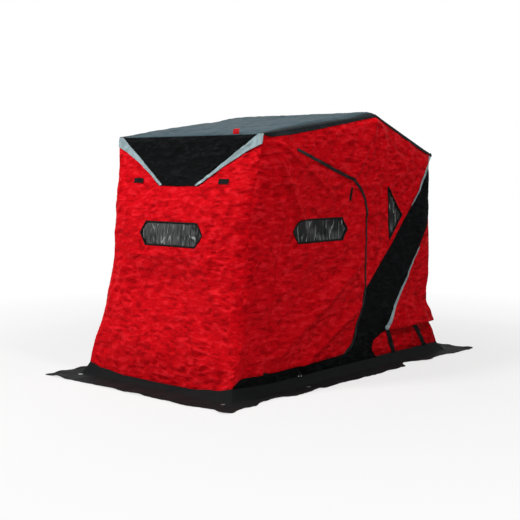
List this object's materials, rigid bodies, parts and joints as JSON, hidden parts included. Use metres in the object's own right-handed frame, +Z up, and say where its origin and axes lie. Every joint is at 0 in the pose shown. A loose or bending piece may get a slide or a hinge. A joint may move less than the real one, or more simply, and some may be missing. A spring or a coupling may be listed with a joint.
{
  "type": "portable ice fishing hut",
  "caption": "Flip-over fabric ice fishing hut on a folding tube frame and sled, with zipped side doors, film windows and a snow skirt.",
  "frame": {"origin": "middle of the footprint, on the ice", "axes": "+Z up, -Y towards the front wall, +X towards the right side door"},
  "size_m": [1.68, 2.78, 1.75],
  "materials": {
    "shell_fabric": "matt quilted woven polyester, crinkled",
    "dark_fabric": "matt woven polyester",
    "roof_fabric": "coated woven polyester with a slight sheen",
    "window_film": "dark flexible film, glossy and creased",
    "reflective_tape": "beaded reflective tape",
    "zip": "coil zip with its tape",
    "skirt_fabric": "heavy coated fabric",
    "eyelet": "plated steel",
    "frame_tube": "mill-finished square tube",
    "frame_steel": "black powder coat",
    "sled_plastic": "rotationally moulded polyethylene"
  },
  "bodies": {
    "shelter": {"front_wall": "shell_fabric", "front_header": "dark_fabric", "front_window": "window_film", "front_patches": "dark_fabric", "roof_front": "roof_fabric", "roof_rear": "roof_fabric", "roof_tab": "shell_fabric", "side_front_right": "shell_fabric", "side_front_left": "shell_fabric", "side_top_right": "shell_fabric", "side_top_left": "shell_fabric", "side_rear_right": "shell_fabric", "side_rear_left": "shell_fabric", "kite_windows": "window_film", "side_band_right": "dark_fabric", "side_band_left": "dark_fabric", "foot_strips": "dark_fabric", "reflective_tape": "reflective_tape", "rear_quarter_right": "shell_fabric", "rear_quarter_left": "shell_fabric", "rear_header": "dark_fabric", "rear_wall": "shell_fabric", "sled_cover_right": "shell_fabric", "sled_cover_left": "shell_fabric", "sled_cover_rear": "shell_fabric", "cover_straps": "dark_fabric", "skirt_front": "skirt_fabric", "skirt_rear": "skirt_fabric", "skirt_right": "skirt_fabric", "skirt_left": "skirt_fabric", "skirt_eyelets": "eyelet", "ridge_bow": "frame_tube", "rear_bow": "frame_tube", "roof_bow": "frame_tube", "roof_knuckles": "frame_steel", "pivot_brackets": "frame_steel", "frame_bolts": "eyelet", "sled_tub": "sled_plastic"},
    "door_right": {"door_right": "shell_fabric", "door_window_right": "window_film", "door_zip_right": "zip", "door_pull_right": "dark_fabric"},
    "door_left": {"door_left": "shell_fabric", "door_window_left": "window_film", "door_zip_left": "zip", "door_pull_left": "dark_fabric"}
  },
  "joints": [
    {"name": "door_right_fold", "type": "hinge", "parent": "shelter", "child": "door_right", "pos_m": [0.66, -0.875, 0.12], "axis": [0, -0.2006, -0.9797], "range_deg": [0, 110]},
    {"name": "door_left_fold", "type": "hinge", "parent": "shelter", "child": "door_left", "pos_m": [-0.66, -0.875, 0.12], "axis": [0, 0.2006, 0.9797], "range_deg": [0, 110]}
  ]
}
